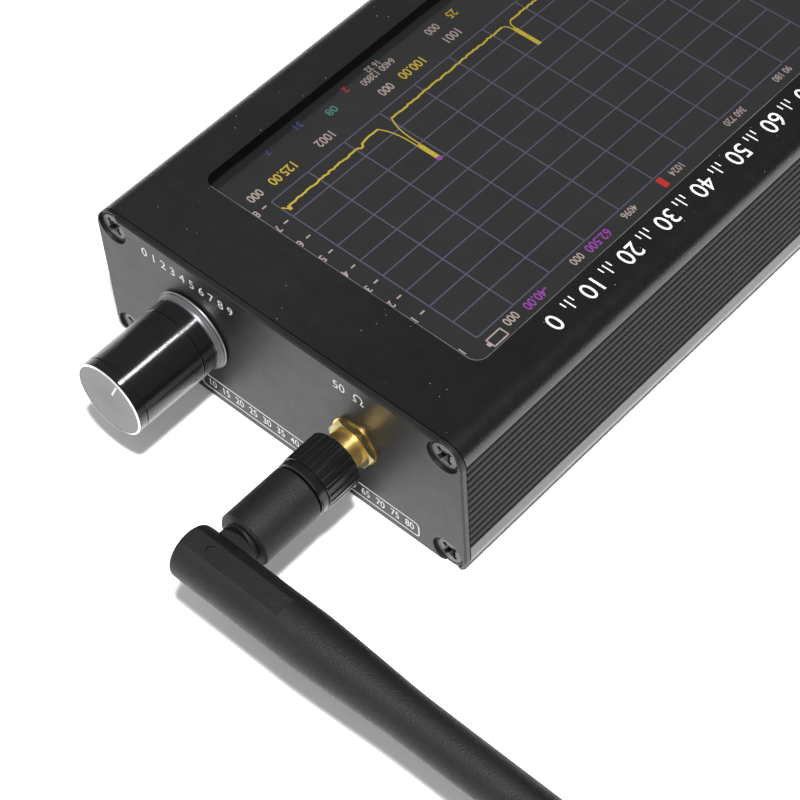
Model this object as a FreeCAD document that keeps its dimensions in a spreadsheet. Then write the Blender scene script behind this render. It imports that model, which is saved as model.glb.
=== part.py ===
"""Handheld spectrum analyzer: ribbed aluminium case, display, turning and pressing knob, folding antenna.

Frame: +Z up, +X to the right seen from the connector end, +Y away from that end.
The origin is the centre of the case's underside. Millimetres.
Front parts share one local frame: local Z points out of the front plate, local X is the case's X
and local Y is the case's Z, so a local Z of zero is the plate's outer face.
"""
import FreeCAD
import Part
import math
import os
import re

import Sketcher

doc = FreeCAD.newDocument("SpectrumAnalyzer")
sheet = doc.addObject("Spreadsheet::Sheet", "Sheet")
nodes = []

FORWARD = FreeCAD.Rotation(FreeCAD.Vector(1, 0, 0), 90)
REARWARD = FreeCAD.Rotation(FreeCAD.Vector(1, 0, 0), -90)
SIDEWAYS = FreeCAD.Rotation(FreeCAD.Vector(0, 1, 0), 90)
UPRIGHT = FreeCAD.Rotation()

SIZES = {
    "case_width": 74, "case_height": 29, "case_length": 120, "corner_radius": 3.6,
    "side_wall": 1.9, "top_wall": 2.0, "floor_wall": 1.6,
    "groove_count": 13, "groove_pitch": 1.575, "groove_width": 0.8, "groove_depth": 0.5,
    "groove_low": 6.0, "window_width": 55.7, "window_length": 96.2, "window_near": 14.2,
    "window_radius": 2.0, "plate_thick": 1.2, "plate_chamfer": 0.26,
    "seam_chamfer": 0.2,
    "screw_inset_x": 3.56, "screw_inset_z": 2.8, "boss_radius": 2.4,
    "screw_radius": 1.25, "screw_length": 5.0, "head_radius": 2.3, "head_sink": 0.5,
    "recess_radius": 2.9, "recess_drive": 0.75, "recess_span": 3.3, "recess_depth": 0.8,
    "axis_height": 15.0, "knob_axis_x": -17.4, "socket_axis_x": 15.85,
    "lcd_width": 67.2, "lcd_length": 105.5, "lcd_thick": 2.7, "lcd_lip": 0.2, "lcd_skin": 0.3,
    "view_width": 56.6, "view_length": 97.6, "lcd_layer": 1.2,
    "board_width": 69, "board_length": 116, "board_thick": 1.6, "board_bottom": 13.0,
    "rail_thick": 1.2, "rail_reach": 1.5, "rail_gap": 0.1,
    "bushing_radius": 3.45, "bushing_bore": 3.0, "bushing_out": 3.5, "shaft_radius": 2.95,
    "shaft_out": 16.5, "knob_gap": 0.3, "knob_length": 17.9,
    "knob_radius": 6.6, "knob_flange": 7.2, "knob_cavity": 6.1, "cavity_top": 4.25,
    "hub_radius": 5.0, "hub_top": 17.0, "index_angle": 63, "index_start": 2.2,
    "index_length": 3.5, "index_width": 0.36,
    "barrel_radius": 3.17, "barrel_out": 9.0, "barrel_bore": 2.35, "mate_plane": 7.1,
    "hex_flats": 7.94, "hex_back": 0.15, "hex_front": 1.2, "hex_chamfer": 0.42,
    "grip_start": 3.9, "grip_end": 11.7, "grip_radius": 4.8, "grip_ribs": 24,
    "hinge_start": 11.9, "hinge_end": 23.4, "hinge_radius": 4.6, "pivot_out": 29.2,
    "tongue_half": 3.2, "tongue_thick": 3.2, "swing_radius": 5.6, "pivot_radius": 0.9, "pivot_play": 0.05,
    "whip_radius": 4.4, "whip_end": 4.9, "whip_length": 83.8, "cheek_flat": 4.1,
    "slot_width": 3.7, "slot_floor": 4.2, "slot_wall": 3.7, "step_out": 14.5,
}
for row, (alias, value) in enumerate(SIZES.items(), start=1):
    sheet.set(f"A{row}", alias)
    sheet.set(f"B{row}", str(value))
    sheet.setAlias(f"B{row}", alias)
DERIVED = {
    "front_face": "=case_length / 2 + plate_thick",
    "screw_at_x": "=case_width / 2 - screw_inset_x",
    "screw_top": "=case_height - screw_inset_z",
    "window_centre": "=window_near + window_length / 2 - case_length / 2 - plate_thick",
    "lcd_top": "=case_height - top_wall",
    "board_top": "=board_bottom + board_thick",
    "inner_half": "=case_width / 2 - side_wall",
    "seat_radius": "=screw_radius + 0.67",
}
for row, (alias, formula) in enumerate(DERIVED.items(), start=len(SIZES) + 1):
    sheet.set(f"A{row}", alias)
    sheet.set(f"B{row}", formula)
    sheet.setAlias(f"B{row}", alias)
doc.recompute()

WORDS = re.compile(r"\b(" + "|".join(list(SIZES) + list(DERIVED)) + r")\b")


def link(text):
    """An expression in which each size's name points at its cell."""
    return WORDS.sub(r"Sheet.\1", str(text))


def bind(item, prop, text):
    item.setExpression(prop, link(text))


def place(item, at=("0", "0", "0"), turn=UPRIGHT):
    """Puts an object at a point given as three expressions, turned by a fixed rotation."""
    item.Placement = FreeCAD.Placement(FreeCAD.Vector(0, 0, 0), turn)
    for axis, text in zip("xyz", at):
        bind(item, f"Placement.Base.{axis}", text)
    return item


def front(x, out="0"):
    """A point on the front plate's outer face, or out in front of it."""
    return (x, f"-front_face - ({out})", "axis_height")


def box(name, size, corner):
    item = doc.addObject("Part::Box", name)
    for prop, text in zip(("Length", "Width", "Height"), size):
        bind(item, prop, text)
    return place(item, corner)


def centred_box(name, size, middle):
    """A box by its sizes and the middle of its underside."""
    corner = (f"{middle[0]} - ({size[0]}) / 2", f"{middle[1]} - ({size[1]}) / 2", middle[2])
    return box(name, size, corner)


def cylinder(name, radius, length, at, turn=UPRIGHT):
    item = doc.addObject("Part::Cylinder", name)
    bind(item, "Radius", radius)
    bind(item, "Height", length)
    return place(item, at, turn)


def cone(name, start, end, length, at, turn=UPRIGHT):
    item = doc.addObject("Part::Cone", name)
    bind(item, "Radius1", start)
    bind(item, "Radius2", end)
    bind(item, "Height", length)
    return place(item, at, turn)


def fuse(name, items):
    item = doc.addObject("Part::MultiFuse", name)
    item.Shapes = items
    item.Refine = True
    return item


def cut(name, base, tools):
    """The base with one or more tools taken away."""
    item = doc.addObject("Part::Cut", name)
    item.Base = base
    item.Tool = tools[0] if len(tools) == 1 else fuse(name + "_tools", tools)
    return item


def common(name, first, second):
    item = doc.addObject("Part::Common", name)
    item.Base = first
    item.Tool = second
    return item


def node(label, item):
    """Registers a finished sub-part under its own name."""
    item.Label = label
    nodes.append(item)
    return item


def origin_plane(body, role):
    return next(plane for plane in body.Origin.OriginFeatures if plane.Role == role)


def new_sketch(body, name, role):
    sketch = body.newObject("Sketcher::SketchObject", name)
    sketch.AttachmentSupport = (origin_plane(body, role), [""])
    sketch.MapMode = "FlatFace"
    return sketch


def fix(sketch, kind, geometry, point, text):
    """Ties one coordinate of a sketch point to an expression; a plain zero lies on the axis."""
    if text == "0":
        axis = -2 if kind == "DistanceX" else -1
        sketch.addConstraint(Sketcher.Constraint("PointOnObject", geometry, point, axis))
        return
    index = sketch.addConstraint(Sketcher.Constraint(kind, geometry, point, 1.0))
    bind(sketch, f"Constraints[{index}]", text)


def outline(sketch, points):
    """Adds a closed outline of straight lines through points given as pairs of expressions."""
    first = sketch.GeometryCount
    count = len(points)
    for index in range(count):
        turn = 2 * math.pi * index / count
        ahead = 2 * math.pi * (index + 1) / count
        start = FreeCAD.Vector(10 + 5 * math.cos(turn), 10 + 5 * math.sin(turn), 0)
        end = FreeCAD.Vector(10 + 5 * math.cos(ahead), 10 + 5 * math.sin(ahead), 0)
        sketch.addGeometry(Part.LineSegment(start, end), False)
    for index in range(count):
        following = first + (index + 1) % count
        sketch.addConstraint(Sketcher.Constraint("Coincident", first + index, 2, following, 1))
    for index, (across, up) in enumerate(points):
        fix(sketch, "DistanceX", first + index, 1, across)
        fix(sketch, "DistanceY", first + index, 1, up)


def circle(sketch, radius, across, up):
    middle = FreeCAD.Vector(5, 5, 0)
    index = sketch.addGeometry(Part.Circle(middle, FreeCAD.Vector(0, 0, 1), 1), False)
    ring = sketch.addConstraint(Sketcher.Constraint("Radius", index, 1.0))
    bind(sketch, f"Constraints[{ring}]", radius)
    fix(sketch, "DistanceX", index, 3, across)
    fix(sketch, "DistanceY", index, 3, up)


def rectangle(low_x, low_y, high_x, high_y):
    return [(low_x, low_y), (high_x, low_y), (high_x, high_y), (low_x, high_y)]


def turned(name, points, at, turn=FORWARD):
    """A lathe-turned piece: (radius, height) points spun about the local Z axis."""
    body = doc.addObject("PartDesign::Body", name)
    sketch = new_sketch(body, name + "_profile", "XZ_Plane")
    outline(sketch, points)
    spin = body.newObject("PartDesign::Revolution", name + "_spin")
    spin.Profile = sketch
    spin.ReferenceAxis = (sketch, ["V_Axis"])
    spin.Angle = 360
    return place(body, at, turn)


def padded(name, points, depth, at, turn, rounding=None):
    """A flat outline pushed up by a depth, with its upright edges rounded if asked."""
    body = doc.addObject("PartDesign::Body", name)
    sketch = new_sketch(body, name + "_outline", "XY_Plane")
    outline(sketch, points)
    pad = body.newObject("PartDesign::Pad", name + "_pad")
    pad.Profile = sketch
    bind(pad, "Length", depth)
    doc.recompute()
    if rounding:
        upright = []
        for index, edge in enumerate(pad.Shape.Edges, start=1):
            start, end = (vertex.Point for vertex in edge.Vertexes)
            if abs(start.z - end.z) > 0.1:
                upright.append(f"Edge{index}")
        fillet = body.newObject("PartDesign::Fillet", name + "_rounding")
        fillet.Base = (pad, upright)
        bind(fillet, "Radius", rounding)
        doc.recompute()
    return place(body, at, turn)


def pocket(body, sketch, name):
    """Cuts a sketch on the body's start plane right through it, and checks that it cut."""
    before = body.Shape.Volume
    hole = body.newObject("PartDesign::Pocket", name)
    hole.Profile = sketch
    hole.Type = "ThroughAll"
    hole.Reversed = True
    doc.recompute()
    if body.Shape.Volume > before - 0.01:
        raise RuntimeError(f"{name} cut nothing")
    return hole


# ---------------------------------------------------------------- case and plates

def screw_spots():
    """The four screw axes, as case X and Z expressions."""
    return [(f"{side} * screw_at_x", height) for side in ("-1", "1")
            for height in ("screw_inset_z", "screw_top")]


def case_tube():
    """The extruded tube: rounded section, hollow, side grooves, screw channels and board rails."""
    tube = padded("case_tube", rectangle("0", "0", "case_width", "case_height"), "case_length",
                  ("-case_width / 2", "case_length / 2", "0"), FORWARD, "corner_radius")
    hollow = new_sketch(tube, "hollow_outline", "XY_Plane")
    outline(hollow, rectangle("side_wall", "floor_wall", "case_width - side_wall",
                              "case_height - top_wall"))
    pocket(tube, hollow, "hollow")
    for side, low, high in (("left", "0", "groove_depth"),
                            ("right", "case_width - groove_depth", "case_width")):
        groove = new_sketch(tube, f"{side}_groove_outline", "XY_Plane")
        outline(groove, rectangle(low, "groove_low", high, "groove_low + groove_width"))
        slot = pocket(tube, groove, f"{side}_groove")
        rows = tube.newObject("PartDesign::LinearPattern", f"{side}_grooves")
        rows.Originals = [slot]
        rows.Direction = (groove, ["V_Axis"])
        rows.Occurrences = SIZES["groove_count"]
        bind(rows, "Length", "groove_pitch * (groove_count - 1)")
        tube.Tip = rows
        doc.recompute()
    channels = []
    for number, (across, up) in enumerate(screw_spots()):
        channels.append(cylinder(f"channel_{number}", "boss_radius", "case_length",
                                 (across, "case_length / 2", up), FORWARD))
    for side in ("-1", "1"):
        for start in ("board_bottom - rail_gap - rail_thick", "board_top + rail_gap"):
            middle = f"{side} * (inner_half - rail_reach / 2 + 0.1)"
            channels.append(centred_box("rail", ("rail_reach + 0.2", "case_length", "rail_thick"),
                                        (middle, "0", start)))
    return fuse("ribbed_tube", [tube] + channels)


def case_extrusion():
    window = padded("window_tool", rectangle("0", "0", "window_width", "window_length"), "top_wall + 2",
                    ("-window_width / 2", "window_centre - window_length / 2",
                     "case_height - top_wall - 1"), UPRIGHT, "window_radius")
    display_room = centred_box("display_room", ("lcd_width + 0.6", "lcd_length + 1.5", "4"),
                               ("0", "window_centre", "lcd_top - 4"))
    tools = [window, display_room]
    for number, (across, up) in enumerate(screw_spots()):
        tools.append(cylinder(f"screw_bore_{number}", "screw_radius", "case_length + 2",
                              (across, "case_length / 2 + 1", up), FORWARD))
        for end, turn in (("-1", REARWARD), ("1", FORWARD)):
            tools.append(cone(f"mouth_{number}", "seat_radius", "screw_radius", "head_sink + 0.22",
                              (across, f"{end} * case_length / 2", up), turn))
    return node("case_extrusion", cut("case_extrusion", case_tube(), tools))


def end_plate(name, start, outer):
    """An end plate before its holes: a wide edge break outside and a narrow one against the case."""
    plate = padded(name, rectangle("0", "0", "case_width", "case_height"), "plate_thick",
                   ("-case_width / 2", start, "0"), FORWARD, "corner_radius")
    for step, at, size in (("outer", outer, "plate_chamfer"),
                           ("inner", SIZES["plate_thick"] - outer, "seam_chamfer")):
        doc.recompute()
        rim = []
        for index, edge in enumerate(plate.Shape.Edges, start=1):
            depth = plate.Placement.inverse().multVec(edge.CenterOfMass).z
            if abs(depth - at) < 0.01:
                rim.append(f"Edge{index}")
        blank = plate.Tip
        edge_break = plate.newObject("PartDesign::Chamfer", f"{name}_{step}_edge")
        edge_break.Base = (blank, rim)
        bind(edge_break, "Size", size)
    doc.recompute()
    return plate


def screw_recesses(name, side, inward):
    """Round recesses for the screw heads, wide enough to break out of the plate's edge."""
    tools = []
    for number, (across, up) in enumerate(screw_spots()):
        face = f"{side} * front_face"
        tools.append(cylinder(f"{name}_recess_{number}", "recess_radius", "head_sink",
                              (across, face, up), inward))
        tools.append(cone(f"{name}_seat_{number}", "head_radius + 0.27", "seat_radius",
                          "plate_thick - head_sink",
                          (across, f"{side} * (front_face - head_sink)", up), inward))
    return tools


def front_plate():
    plate = end_plate("front_blank", "-case_length / 2", SIZES["plate_thick"])
    tools = screw_recesses("front", "-1", REARWARD)
    tools.append(cylinder("knob_hole", "bushing_radius + 0.1", "plate_thick + 2",
                          front("knob_axis_x", "1"), REARWARD))
    tools.append(cylinder("socket_hole", "barrel_radius + 0.1", "plate_thick + 2",
                          front("socket_axis_x", "1"), REARWARD))
    return node("front_plate", cut("front_plate", plate, tools))


def rear_plate():
    plate = end_plate("rear_blank", "case_length / 2 + plate_thick", 0)
    tools = screw_recesses("rear", "1", FORWARD)
    tools.append(padded("usb_mouth", rectangle("0", "0", "9.8", "3.9"), "4",
                        ("-4.9", "front_face + 1", "board_top - 0.4"), FORWARD, "1.9"))
    tools.append(centred_box("switch_mouth", ("4.6", "6", "2.2"),
                             ("-20", "front_face", "board_top + 1.3")))
    tools.append(cylinder("lamp_mouth", "1.05", "6", ("14", "front_face + 2", "board_top + 1.6"),
                          FORWARD))
    return node("rear_plate", cut("rear_plate", plate, tools))


def cross_screw(name, at, turn):
    """A countersunk machine screw with a cross recess; local Z points out of the head."""
    blank = turned(name + "_blank", [
        ("0", "0"), ("screw_radius - 0.3", "0"), ("screw_radius - 0.02", "0.4"),
        ("screw_radius - 0.02", "screw_length"), ("head_radius", "screw_length + 1.2"),
        ("head_radius", "screw_length + 1.4"), ("0", "screw_length + 1.4")], at, turn)
    tools = []
    outward = turn.multVec(FreeCAD.Vector(0, 0, 1)).y
    for number, angle in enumerate((45, 135)):
        bar = doc.addObject("Part::Box", f"{name}_bar_{number}")
        bind(bar, "Length", "recess_span")
        bind(bar, "Width", "recess_drive")
        bind(bar, "Height", "recess_depth")
        spin = FreeCAD.Rotation(FreeCAD.Vector(0, 0, 1), angle)
        half = FreeCAD.Vector(SIZES["recess_span"] / 2, SIZES["recess_drive"] / 2, 0)
        corner = turn.multVec(spin.multVec(half))
        reach = f"{at[1]} + ({outward}) * (screw_length + 1.4 - recess_depth)"
        place(bar, (f"{at[0]} - ({corner.x})", f"{reach} - ({corner.y})", f"{at[2]} - ({corner.z})"),
              turn.multiply(spin))
        tools.append(bar)
    point = (at[0], f"{at[1]} + ({outward}) * (screw_length + 1.4 - recess_depth - 0.5)", at[2])
    tools.append(cone(name + "_point", "0.25", "1.1", "recess_depth + 0.5", point, turn))
    return cut(name, blank, tools)


def plate_screws(label, side, turn):
    """The four like screws of one end plate, as one group."""
    screws = []
    for number, (across, up) in enumerate(screw_spots()):
        seat = f"{side} * (front_face - head_sink - screw_length - 1.4)"
        screws.append(cross_screw(f"{label}_{number}", (across, seat, up), turn))
    group = doc.addObject("Part::Compound", label)
    group.Links = screws
    return node(label, group)


# ---------------------------------------------------------------- display and boards

def display():
    """The display module: folded metal frame, glass panel, backlight and ribbon."""
    middle = ("0", "window_centre")
    shell = centred_box("lcd_shell", ("lcd_width", "lcd_length", "lcd_thick"),
                        middle + ("lcd_top - lcd_thick",))
    inside = centred_box("lcd_inside",
                         ("lcd_width - 2 * lcd_skin", "lcd_length - 2 * lcd_skin", "lcd_thick"),
                         middle + ("lcd_top - lcd_lip - lcd_thick",))
    view = centred_box("lcd_view", ("view_width", "view_length", "lcd_thick * 2"),
                       middle + ("lcd_top - lcd_thick",))
    node("lcd_frame", cut("lcd_frame", shell, [inside, view]))
    layer = ("lcd_width - 2 * lcd_skin", "lcd_length - 2 * lcd_skin", "lcd_layer")
    node("lcd_panel", centred_box("lcd_panel", layer, middle + ("lcd_top - lcd_lip - lcd_layer",)))
    node("lcd_backlight", centred_box("lcd_backlight", layer,
                                      middle + ("lcd_top - lcd_lip - 2 * lcd_layer",)))
    node("lcd_ribbon", centred_box("lcd_ribbon", ("22", "0.3", "lcd_top - lcd_lip - 2 * lcd_layer"
                                                  " - board_top - 1.8"),
                                   ("0", "48", "board_top + 1.8")))
    node("ribbon_connector", centred_box("ribbon_connector", ("25", "4", "1.8"),
                                         ("0", "48", "board_top")))


def main_board():
    board = centred_box("board_blank", ("board_width", "board_length", "board_thick"),
                        ("0", "0", "board_bottom"))
    notch = centred_box("encoder_notch", ("20", "16", "board_thick + 2"),
                        ("knob_axis_x", "-board_length / 2", "board_bottom - 1"))
    return node("main_board", cut("main_board", board, [notch]))


def board_parts():
    """What the main board carries, and the battery under it."""
    can = centred_box("can_outer", ("34", "42", "4"), ("14", "-26", "board_top"))
    room = centred_box("can_room", ("33.4", "41.4", "3.7"), ("14", "-26", "board_top"))
    node("shield_can", cut("shield_can", can, [room]))
    chips = [centred_box(f"rf_chip_{number}", ("6", "6", "1"), ("14", spot, "board_top"))
             for number, spot in enumerate(("-38", "-26", "-14"))]
    group = doc.addObject("Part::Compound", "rf_chips")
    group.Links = chips
    node("rf_chips", group)
    node("processor", centred_box("processor", ("14", "14", "1.4"), ("-17", "8", "board_top")))
    node("crystal", padded("crystal", rectangle("0", "0", "11", "4.6"), "3.4",
                           ("-22.5", "20", "board_top"), UPRIGHT, "2.2"))
    node("charger_chip", centred_box("charger_chip", ("5", "6", "1.5"), ("20", "38", "board_top")))
    node("battery", padded("battery", rectangle("0", "0", "50", "80"), "6.2",
                           ("-25", "-34", "floor_wall"), UPRIGHT, "3"))
    node("battery_connector", centred_box("battery_connector", ("8", "6", "4.5"),
                                          ("-22", "-42", "board_bottom - 4.5")))


def rear_parts():
    """Charging socket, power switch and lamp behind the rear plate."""
    mouth = "front_face - 0.4"
    shell = padded("usb_outer", rectangle("0", "0", "8.94", "3.16"), "7.3",
                   ("-4.47", mouth, "board_top"), FORWARD, "1.5")
    room = padded("usb_room", rectangle("0", "0", "8.34", "2.56"), "6.5",
                  ("-4.17", mouth + " + 0.1", "board_top + 0.3"), FORWARD, "1.2")
    node("usb_shell", cut("usb_shell", shell, [room]))
    node("usb_tongue", centred_box("usb_tongue", ("6.7", "5.7", "0.7"),
                                   ("0", mouth + " - 3.55", "board_top + 1.23")))
    body = centred_box("switch_block", ("9", "4.4", "4.6"), ("-20", "front_face - 4.2", "board_top"))
    slot = centred_box("switch_slot", ("6", "2", "2.6"),
                       ("-20", "front_face - 3.4", "board_top + 1.1"))
    slit = centred_box("switch_slit", ("4.4", "3", "1.8"),
                       ("-20", "front_face - 2", "board_top + 1.5"))
    node("switch_body", cut("switch_body", body, [slot, slit]))
    carriage = centred_box("switch_carriage", ("3.6", "1.2", "2.2"),
                           ("-21", "front_face - 3.4", "board_top + 1.3"))
    lever = centred_box("switch_lever", ("1.8", "4.2", "1.4"),
                        ("-21", "front_face - 0.9", "board_top + 1.7"))
    node("switch_slider", fuse("switch_slider", [carriage, lever]))
    node("status_lamp", turned("status_lamp", [
        ("0", "0"), ("1.4", "0"), ("1.4", "2.6"), ("1.0", "2.6"), ("1.0", "4.3"), ("0.6", "4.7"),
        ("0", "4.7")], ("14", "front_face - 4.5", "board_top + 1.6"), REARWARD))


# ---------------------------------------------------------------- encoder and knob

def encoder():
    """Rotary push encoder: housing, bushing, rotor, sliding shaft, dome, board, washer and nut."""
    behind = "plate_thick"
    axis = "knob_axis_x"
    block = centred_box("housing_block", ("12", "5.7", "12.4"),
                        (axis, "-case_length / 2 + 0.8 + 2.85", "axis_height - 6.2"))
    rotor_room = cylinder("rotor_room", "4.9", "3.8", front(axis, f"-({behind} + 4.6)"), FORWARD)
    dome_room = cylinder("dome_room", "2.6", "2.5", front(axis, f"-({behind} + 6.1)"), FORWARD)
    node("encoder_housing", cut("encoder_housing", block, [rotor_room, dome_room]))
    node("encoder_bushing", turned("encoder_bushing", [
        ("bushing_bore", "0"), ("5.6", "0"), ("5.6", "0.8"), ("bushing_radius", "0.8"),
        ("bushing_radius", "0.5 + plate_thick + bushing_out"),
        ("bushing_radius - 0.3", "0.8 + plate_thick + bushing_out"),
        ("bushing_bore", "0.8 + plate_thick + bushing_out")],
        front(axis, f"-({behind} + 0.8)")))
    node("encoder_rotor", turned("encoder_rotor", [
        ("1.55", "0"), ("4.5", "0"), ("4.5", "2.2"), ("1.55", "2.2")],
        front(axis, f"-({behind} + 4.1)")))
    blank = turned("shaft_blank", [
        ("0", "0"), ("1.5", "0"), ("1.5", "3.2"), ("shaft_radius", "3.2"),
        ("shaft_radius", "4.4 + plate_thick + shaft_out - 0.5"),
        ("shaft_radius - 0.5", "4.4 + plate_thick + shaft_out"),
        ("0", "4.4 + plate_thick + shaft_out")], front(axis, f"-({behind} + 4.4)"))
    flat = centred_box("shaft_flat", ("10", "9", "4"),
                       (axis, "-front_face - shaft_out + 4.5 - 0.5", "axis_height + 1.5"))
    node("encoder_shaft", cut("encoder_shaft", blank, [flat]))
    node("switch_dome", turned("switch_dome", [
        ("0", "0"), ("2.4", "0"), ("1.7", "0.9"), ("0.6", "1.35"), ("0", "1.35")],
        front(axis, f"-({behind} + 6.1)")))
    node("encoder_board", centred_box("encoder_board", ("18", "1.6", "16"),
                                      (axis, "-case_length / 2 + 6.5 + 0.8", "axis_height - 8")))
    node("encoder_washer", turned("encoder_washer", [
        ("bushing_radius + 0.05", "0"), ("5.7", "0"), ("5.7", "0.5"),
        ("bushing_radius + 0.05", "0.5")], front(axis)))
    prism = doc.addObject("Part::Prism", "nut_prism")
    prism.Polygon = 6
    bind(prism, "Circumradius", "5.65")
    bind(prism, "Height", "2")
    place(prism, front(axis, "0.5"), FORWARD)
    bore = cylinder("nut_bore", "bushing_radius + 0.02", "4", front(axis, "0"), FORWARD)
    node("encoder_nut", cut("encoder_nut", prism, [bore]))


def knob():
    """Turned aluminium knob over a plastic hub with a flat-sided bore, and its index mark."""
    axis = "knob_axis_x"
    start = "knob_gap"
    groove = "cavity_top + 0.1 - knob_gap"
    shell = turned("knob_shell", [
        ("knob_cavity", "0"), ("knob_flange - 0.15", "0"), ("knob_flange", "0.15"),
        ("knob_flange", "0.3"), ("knob_radius + 0.25", "0.85"), ("knob_radius + 0.15", "0.9"),
        ("knob_radius + 0.15", "1.0"), ("knob_radius - 0.12", "1.65"), ("knob_radius", "1.75"),
        ("knob_radius", groove), ("knob_radius - 0.25", groove + " + 0.1"),
        ("knob_radius - 0.25", groove + " + 0.3"), ("knob_radius", groove + " + 0.4"),
        ("knob_radius", "knob_length - 1.9"), ("knob_radius - 0.1", "knob_length - 1.85"),
        ("knob_radius - 0.1", "knob_length - 1.7"), ("knob_radius", "knob_length - 1.65"),
        ("knob_radius", "knob_length - 0.2"), ("knob_radius - 0.3", "knob_length"),
        ("knob_radius - 0.4", "knob_length - 0.1"), ("0", "knob_length - 0.1"),
        ("0", "hub_top - knob_gap"), ("hub_radius", "hub_top - knob_gap"),
        ("hub_radius", "cavity_top - knob_gap"), ("knob_cavity", "cavity_top - knob_gap")],
        front(axis, start))
    reach = "knob_length + knob_gap - 0.1 - 0.15"
    spin = FreeCAD.Rotation(FreeCAD.Vector(0, 0, 1), SIZES["index_angle"])
    corner = spin.multVec(FreeCAD.Vector(SIZES["index_start"], -SIZES["index_width"] / 2, 0))
    marks = []
    for name, deep in (("index_notch", "0.3"), ("index_fill", "0.12")):
        bar = doc.addObject("Part::Box", name)
        bind(bar, "Length", "index_length")
        bind(bar, "Width", "index_width")
        bind(bar, "Height", deep)
        marks.append(place(bar, (f"{axis} + ({corner.x})", f"-front_face - ({reach})",
                                 f"axis_height + ({corner.y})"), FORWARD.multiply(spin)))
    node("knob_body", cut("knob_body", shell, [marks[0]]))
    node("knob_index", marks[1])
    sleeve = cylinder("hub_sleeve", "hub_radius", "hub_top - cavity_top", front(axis, "cavity_top"),
                      FORWARD)
    bore = cylinder("hub_bore", "shaft_radius + 0.02", "shaft_out + 0.2 - cavity_top + 1",
                    front(axis, "cavity_top - 1"), FORWARD)
    flat = centred_box("hub_flat", ("10", "8", "4"),
                       (axis, "-front_face - shaft_out + 3.9 - 0.3", "axis_height + 1.52"))
    node("knob_hub", cut("knob_hub", sleeve, [cut("hub_bore_flatted", bore, [flat])]))


# ---------------------------------------------------------------- signal socket

def signal_socket():
    """Threaded coaxial socket: body with board prongs, washer, hex nut, insulator and contact."""
    axis = "socket_axis_x"
    inner = "plate_thick + 2"
    barrel = turned("barrel", [
        ("2.05", "0"), ("4.6", "0"), ("4.6", "2"), ("barrel_radius", "2"),
        ("barrel_radius", inner + " + barrel_out - 0.4"),
        ("barrel_radius - 0.4", inner + " + barrel_out"), ("barrel_bore", inner + " + barrel_out"),
        ("barrel_bore", inner + " + mate_plane"), ("2.05", inner + " + mate_plane")],
        front(axis, f"-({inner})"))
    prongs = []
    for side in ("-1", "1"):
        for start in ("board_top", "board_bottom - 1"):
            prongs.append(centred_box("prong", ("1.2", "4.4", "1"),
                                      (f"{axis} + {side} * 3.2", "-case_length / 2 + 3.8", start)))
    node("socket_body", fuse("socket_body", [barrel] + prongs))
    node("socket_washer", turned("socket_washer", [
        ("barrel_radius + 0.05", "0"), ("4.3", "0"), ("4.3", "hex_back"),
        ("barrel_radius + 0.05", "hex_back")], front(axis)))
    prism = doc.addObject("Part::Prism", "hex_prism")
    prism.Polygon = 6
    bind(prism, "Circumradius", "hex_flats / sqrt(3)")
    bind(prism, "Height", "hex_front - hex_back")
    place(prism, front(axis, "hex_back"), FORWARD)
    rounding = turned("hex_rounding", [
        ("barrel_radius + 0.02", "0"), ("hex_flats / 2 - 0.02", "0"),
        ("hex_flats / 2 + 0.6", "hex_chamfer"),
        ("hex_flats / 2 + 0.6", "hex_front - hex_back - hex_chamfer"),
        ("hex_flats / 2 - 0.02", "hex_front - hex_back"),
        ("barrel_radius + 0.02", "hex_front - hex_back")], front(axis, "hex_back"))
    node("socket_nut", common("socket_nut", prism, rounding))
    node("socket_insulator", turned("socket_insulator", [
        ("0.635", "0"), ("2.05", "0"), ("2.05", inner + " + mate_plane"),
        ("0.635", inner + " + mate_plane")], front(axis, f"-({inner})")))
    node("socket_contact", turned("socket_contact", [
        ("0", "0"), ("0.4", "0"), ("0.4", "2.5"), ("0.635", "2.5"),
        ("0.635", "2.5 + " + inner + " + mate_plane"), ("0.47", "2.5 + " + inner + " + mate_plane"),
        ("0.47", "2.5 + " + inner + " + mate_plane - 3"),
        ("0", "2.5 + " + inner + " + mate_plane - 3")], front(axis, f"-({inner} + 2.5)")))


# ---------------------------------------------------------------- antenna

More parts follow.
